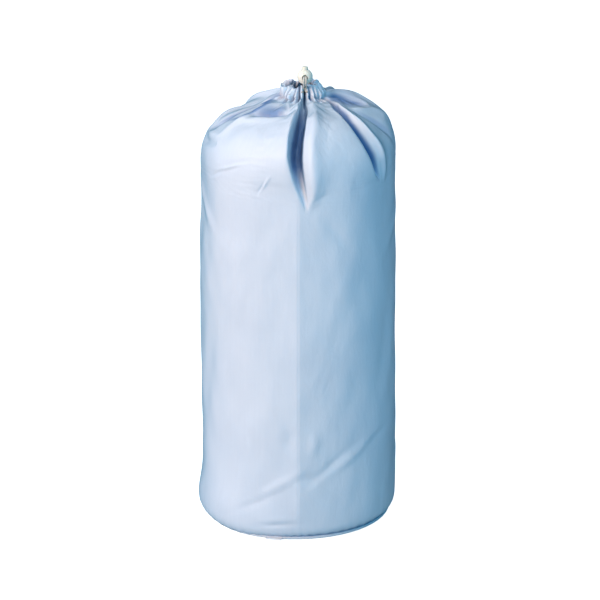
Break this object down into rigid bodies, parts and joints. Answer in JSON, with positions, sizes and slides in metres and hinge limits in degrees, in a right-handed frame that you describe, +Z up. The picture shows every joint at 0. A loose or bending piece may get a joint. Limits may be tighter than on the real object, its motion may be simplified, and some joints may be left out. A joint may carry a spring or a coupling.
{
  "type": "laundry bag",
  "caption": "Tall round-bottomed cloth laundry bag, cinched shut at the top by a drawcord and a sprung cord lock.",
  "frame": {"origin": "on the floor at the centre of the round base", "axes": "+Z up along the bag; -Y is the front, where the side seam runs and the cord comes out; +X to the right seen from the front"},
  "size_m": [0.3061, 0.3174, 0.712],
  "materials": {
    "shell_cloth": "satin",
    "cord": "matte",
    "lock_plastic": "satin",
    "spring_steel": "satin",
    "label_satin": "satin"
  },
  "bodies": {
    "bag": {"side_panel": "shell_cloth", "base_panel": "shell_cloth", "piping_cover": "shell_cloth", "piping_core": "cord"},
    "mouth": {"hem_channel": "shell_cloth", "drawcord_loop": "cord"},
    "lock": {"lock_body": "lock_plastic", "lock_spring": "spring_steel", "drawcord_tails": "cord"},
    "button": {"lock_plunger": "lock_plastic"},
    "label": {"care_label": "label_satin"}
  },
  "joints": [
    {"name": "bag_collapse", "type": "slide", "parent": "bag", "child": "mouth", "axis": [0, 0, 1], "range_m": [-0.34, 0], "deforming": ["side_panel"]},
    {"name": "lock_slide", "type": "slide", "parent": "mouth", "child": "lock", "axis": [0, 0, 1], "range_m": [0, 0.06]},
    {"name": "button_press", "type": "slide", "parent": "lock", "child": "button", "axis": [0, 0, -1], "range_m": [0, 0.0033], "stiffness_N_per_m": 1500, "springref_m": -0.002, "deforming": ["lock_spring"]},
    {"name": "label_flip", "type": "hinge", "parent": "bag", "child": "label", "pos_m": [-0.03515, -0.14098, 0.0032], "axis": [-0.9703, 0.2419, 0], "range_deg": [0, 70]}
  ]
}
